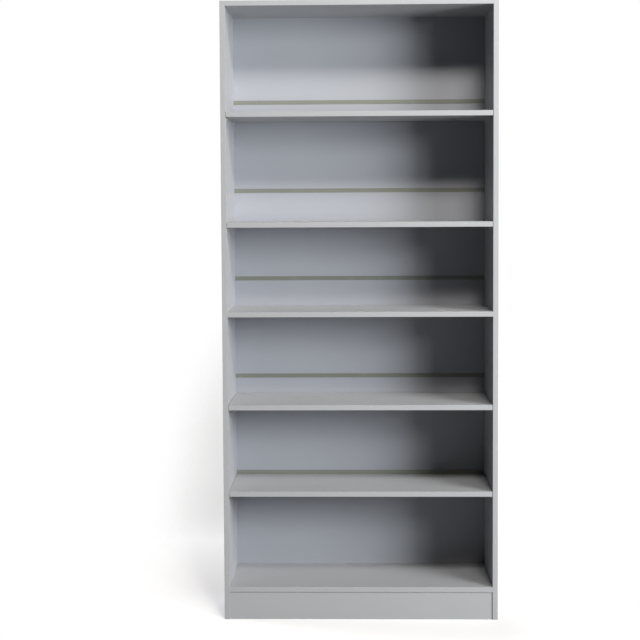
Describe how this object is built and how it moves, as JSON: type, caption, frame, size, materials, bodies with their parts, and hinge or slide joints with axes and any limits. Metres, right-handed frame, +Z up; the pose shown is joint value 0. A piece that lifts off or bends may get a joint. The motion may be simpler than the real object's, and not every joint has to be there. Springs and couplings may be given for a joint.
{
  "type": "bookcase",
  "caption": "Tall open bookcase with a fixed middle shelf, adjustable shelves on pins, a sectioned hardboard back in joiner strips, a recessed plinth and wall brackets.",
  "frame": {"origin": "on the floor under the middle of the case", "axes": "+X to the right seen from the open front, +Y towards the back, +Z up"},
  "size_m": [0.8, 0.29, 1.825],
  "materials": {
    "melamine_board": "satin",
    "edge_band": "satin",
    "hardboard": "satin",
    "joiner_plastic": "satin",
    "pin_steel": "satin",
    "nail_steel": "satin",
    "cam_zinc": "satin",
    "bolt_steel": "satin",
    "dowel_wood": "matte",
    "block_plastic": "satin",
    "screw_steel": "satin",
    "bracket_zinc": "satin"
  },
  "bodies": {
    "carcass": {"left_side_panel": "melamine_board", "right_side_panel": "melamine_board", "top_panel": "melamine_board", "fixed_shelf": "melamine_board", "bottom_panel": "melamine_board", "plinth": "melamine_board", "left_edge_band": "edge_band", "right_edge_band": "edge_band", "top_edge_band": "edge_band", "fixed_shelf_edge_band": "edge_band", "bottom_edge_band": "edge_band", "back_panel_1": "hardboard", "back_panel_2": "hardboard", "back_panel_3": "hardboard", "back_panel_4": "hardboard", "back_panel_5": "hardboard", "back_panel_6": "hardboard", "back_joiner_1": "joiner_plastic", "back_joiner_2": "joiner_plastic", "back_joiner_3": "joiner_plastic", "back_joiner_4": "joiner_plastic", "back_joiner_5": "joiner_plastic", "back_nails": "nail_steel", "top_cam_bolts": "bolt_steel", "fixed_cam_bolts": "bolt_steel", "bottom_cam_bolts": "bolt_steel", "top_dowels": "dowel_wood", "fixed_dowels": "dowel_wood", "bottom_dowels": "dowel_wood", "plinth_dowels": "dowel_wood", "plinth_blocks": "block_plastic", "plinth_block_screws": "screw_steel", "left_wall_bracket": "bracket_zinc", "right_wall_bracket": "bracket_zinc", "wall_bracket_screws": "screw_steel"},
    "shelf_1_supports": {"shelf_1_pins": "pin_steel"},
    "shelf_1": {"adjustable_shelf_1": "melamine_board", "shelf_1_edge_band": "edge_band"},
    "shelf_2_supports": {"shelf_2_pins": "pin_steel"},
    "shelf_2": {"adjustable_shelf_2": "melamine_board", "shelf_2_edge_band": "edge_band"},
    "shelf_3_supports": {"shelf_3_pins": "pin_steel"},
    "shelf_3": {"adjustable_shelf_3": "melamine_board", "shelf_3_edge_band": "edge_band"},
    "shelf_4_supports": {"shelf_4_pins": "pin_steel"},
    "shelf_4": {"adjustable_shelf_4": "melamine_board", "shelf_4_edge_band": "edge_band"},
    "top_cam_left_front_lock": {"top_cam_left_front": "cam_zinc"},
    "top_cam_left_rear_lock": {"top_cam_left_rear": "cam_zinc"},
    "top_cam_right_front_lock": {"top_cam_right_front": "cam_zinc"},
    "top_cam_right_rear_lock": {"top_cam_right_rear": "cam_zinc"},
    "fixed_cam_left_front_lock": {"fixed_cam_left_front": "cam_zinc"},
    "fixed_cam_left_rear_lock": {"fixed_cam_left_rear": "cam_zinc"},
    "fixed_cam_right_front_lock": {"fixed_cam_right_front": "cam_zinc"},
    "fixed_cam_right_rear_lock": {"fixed_cam_right_rear": "cam_zinc"},
    "bottom_cam_left_front_lock": {"bottom_cam_left_front": "cam_zinc"},
    "bottom_cam_left_rear_lock": {"bottom_cam_left_rear": "cam_zinc"},
    "bottom_cam_right_front_lock": {"bottom_cam_right_front": "cam_zinc"},
    "bottom_cam_right_rear_lock": {"bottom_cam_right_rear": "cam_zinc"}
  },
  "joints": [
    {"name": "shelf_1_height", "type": "slide", "parent": "carcass", "child": "shelf_1_supports", "axis": [0, 0, 1], "range_m": [-0.096, 0.096]},
    {"name": "shelf_1_pull_out", "type": "slide", "parent": "shelf_1_supports", "child": "shelf_1", "axis": [0, -1, 0], "range_m": [0, 0.29]},
    {"name": "shelf_2_height", "type": "slide", "parent": "carcass", "child": "shelf_2_supports", "axis": [0, 0, 1], "range_m": [-0.096, 0.096]},
    {"name": "shelf_2_pull_out", "type": "slide", "parent": "shelf_2_supports", "child": "shelf_2", "axis": [0, -1, 0], "range_m": [0, 0.29]},
    {"name": "shelf_3_height", "type": "slide", "parent": "carcass", "child": "shelf_3_supports", "axis": [0, 0, 1], "range_m": [-0.096, 0.096]},
    {"name": "shelf_3_pull_out", "type": "slide", "parent": "shelf_3_supports", "child": "shelf_3", "axis": [0, -1, 0], "range_m": [0, 0.29]},
    {"name": "shelf_4_height", "type": "slide", "parent": "carcass", "child": "shelf_4_supports", "axis": [0, 0, 1], "range_m": [-0.096, 0.096]},
    {"name": "shelf_4_pull_out", "type": "slide", "parent": "shelf_4_supports", "child": "shelf_4", "axis": [0, -1, 0], "range_m": [0, 0.29]},
    {"name": "top_cam_left_front_turn", "type": "hinge", "parent": "carcass", "child": "top_cam_left_front_lock", "pos_m": [-0.351, -0.095, 1.785], "axis": [0, 0, -1], "range_deg": [0, 180]},
    {"name": "top_cam_left_rear_turn", "type": "hinge", "parent": "carcass", "child": "top_cam_left_rear_lock", "pos_m": [-0.351, 0.091, 1.785], "axis": [0, 0, -1], "range_deg": [0, 180]},
    {"name": "top_cam_right_front_turn", "type": "hinge", "parent": "carcass", "child": "top_cam_right_front_lock", "pos_m": [0.351, -0.095, 1.785], "axis": [0, 0, -1], "range_deg": [0, 180]},
    {"name": "top_cam_right_rear_turn", "type": "hinge", "parent": "carcass", "child": "top_cam_right_rear_lock", "pos_m": [0.351, 0.091, 1.785], "axis": [0, 0, -1], "range_deg": [0, 180]},
    {"name": "fixed_cam_left_front_turn", "type": "hinge", "parent": "carcass", "child": "fixed_cam_left_front_lock", "pos_m": [-0.351, -0.095, 0.889], "axis": [0, 0, -1], "range_deg": [0, 180]},
    {"name": "fixed_cam_left_rear_turn", "type": "hinge", "parent": "carcass", "child": "fixed_cam_left_rear_lock", "pos_m": [-0.351, 0.091, 0.889], "axis": [0, 0, -1], "range_deg": [0, 180]},
    {"name": "fixed_cam_right_front_turn", "type": "hinge", "parent": "carcass", "child": "fixed_cam_right_front_lock", "pos_m": [0.351, -0.095, 0.889], "axis": [0, 0, -1], "range_deg": [0, 180]},
    {"name": "fixed_cam_right_rear_turn", "type": "hinge", "parent": "carcass", "child": "fixed_cam_right_rear_lock", "pos_m": [0.351, 0.091, 0.889], "axis": [0, 0, -1], "range_deg": [0, 180]},
    {"name": "bottom_cam_left_front_turn", "type": "hinge", "parent": "carcass", "child": "bottom_cam_left_front_lock", "pos_m": [-0.351, -0.095, 0.081], "axis": [0, 0, -1], "range_deg": [0, 180]},
    {"name": "bottom_cam_left_rear_turn", "type": "hinge", "parent": "carcass", "child": "bottom_cam_left_rear_lock", "pos_m": [-0.351, 0.091, 0.081], "axis": [0, 0, -1], "range_deg": [0, 180]},
    {"name": "bottom_cam_right_front_turn", "type": "hinge", "parent": "carcass", "child": "bottom_cam_right_front_lock", "pos_m": [0.351, -0.095, 0.081], "axis": [0, 0, -1], "range_deg": [0, 180]},
    {"name": "bottom_cam_right_rear_turn", "type": "hinge", "parent": "carcass", "child": "bottom_cam_right_rear_lock", "pos_m": [0.351, 0.091, 0.081], "axis": [0, 0, -1], "range_deg": [0, 180]}
  ]
}
